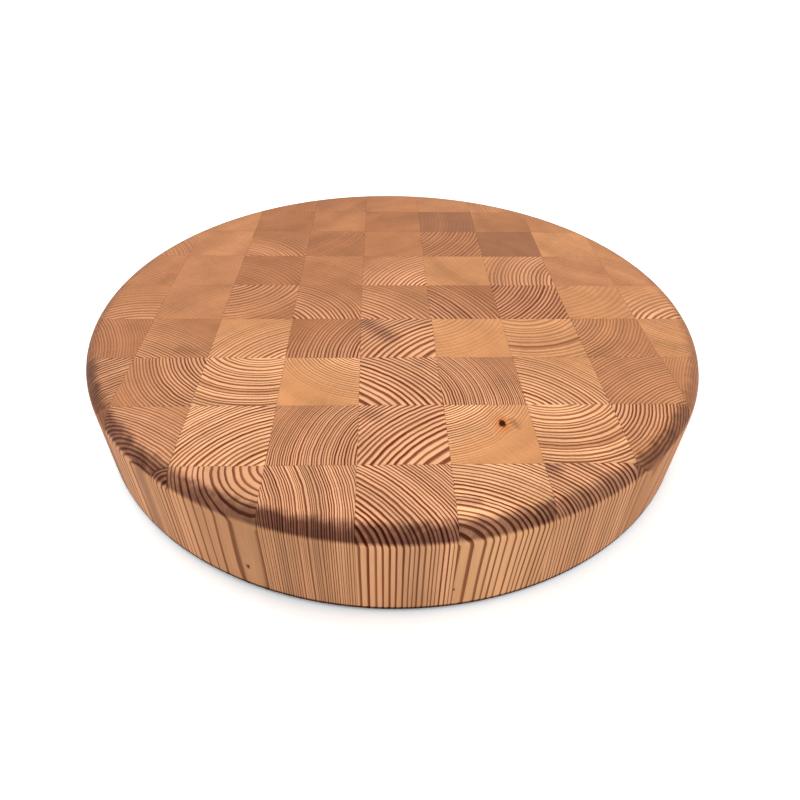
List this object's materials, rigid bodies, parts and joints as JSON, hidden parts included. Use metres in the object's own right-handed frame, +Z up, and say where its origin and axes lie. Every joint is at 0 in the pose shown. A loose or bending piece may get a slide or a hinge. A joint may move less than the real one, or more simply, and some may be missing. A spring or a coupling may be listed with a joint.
{
  "type": "round end-grain chopping block",
  "caption": "Round wooden chopping block, end grain up, glued from square blocks in strips, with rounded top and bottom edges, resting on its flat underside.",
  "frame": {"origin": "centre of the underside, on the surface that the block stands on", "axes": "+Z up through the round block's axis, +X along the glued strips, -Y towards the front"},
  "size_m": [0.4, 0.4, 0.06],
  "materials": {
    "end_grain_wood": "oiled satin"
  },
  "bodies": {
    "root": {"back_corner_slivers": "end_grain_wood", "back_strip_blocks": "end_grain_wood", "front_corner_slivers": "end_grain_wood", "left_end_blocks": "end_grain_wood", "right_end_blocks": "end_grain_wood", "strip_1_block_3": "end_grain_wood", "strip_1_block_4": "end_grain_wood", "strip_1_block_5": "end_grain_wood", "strip_1_block_6": "end_grain_wood", "strip_1_block_7": "end_grain_wood", "strip_2_block_2": "end_grain_wood", "strip_2_block_3": "end_grain_wood", "strip_2_block_4": "end_grain_wood", "strip_2_block_5": "end_grain_wood", "strip_2_block_6": "end_grain_wood", "strip_2_block_7": "end_grain_wood", "strip_2_block_8": "end_grain_wood", "strip_3_block_2": "end_grain_wood", "strip_3_block_3": "end_grain_wood", "strip_3_block_4": "end_grain_wood", "strip_3_block_5": "end_grain_wood", "strip_3_block_6": "end_grain_wood", "strip_3_block_7": "end_grain_wood", "strip_3_block_8": "end_grain_wood", "strip_4_block_2": "end_grain_wood", "strip_4_block_3": "end_grain_wood", "strip_4_block_4": "end_grain_wood", "strip_4_block_5": "end_grain_wood", "strip_4_block_6": "end_grain_wood", "strip_4_block_7": "end_grain_wood", "strip_4_block_8": "end_grain_wood", "strip_5_block_2": "end_grain_wood", "strip_5_block_3": "end_grain_wood", "strip_5_block_4": "end_grain_wood", "strip_5_block_5": "end_grain_wood", "strip_5_block_6": "end_grain_wood", "strip_5_block_7": "end_grain_wood", "strip_5_block_8": "end_grain_wood", "strip_6_block_2": "end_grain_wood", "strip_6_block_3": "end_grain_wood", "strip_6_block_4": "end_grain_wood", "strip_6_block_5": "end_grain_wood", "strip_6_block_6": "end_grain_wood", "strip_6_block_7": "end_grain_wood", "strip_6_block_8": "end_grain_wood", "strip_7_block_2": "end_grain_wood", "strip_7_block_3": "end_grain_wood", "strip_7_block_4": "end_grain_wood", "strip_7_block_5": "end_grain_wood", "strip_7_block_6": "end_grain_wood", "strip_7_block_7": "end_grain_wood", "strip_7_block_8": "end_grain_wood", "strip_8_block_2": "end_grain_wood", "strip_8_block_3": "end_grain_wood", "strip_8_block_4": "end_grain_wood", "strip_8_block_5": "end_grain_wood", "strip_8_block_6": "end_grain_wood", "strip_8_block_7": "end_grain_wood", "strip_8_block_8": "end_grain_wood"}
  },
  "joints": []
}
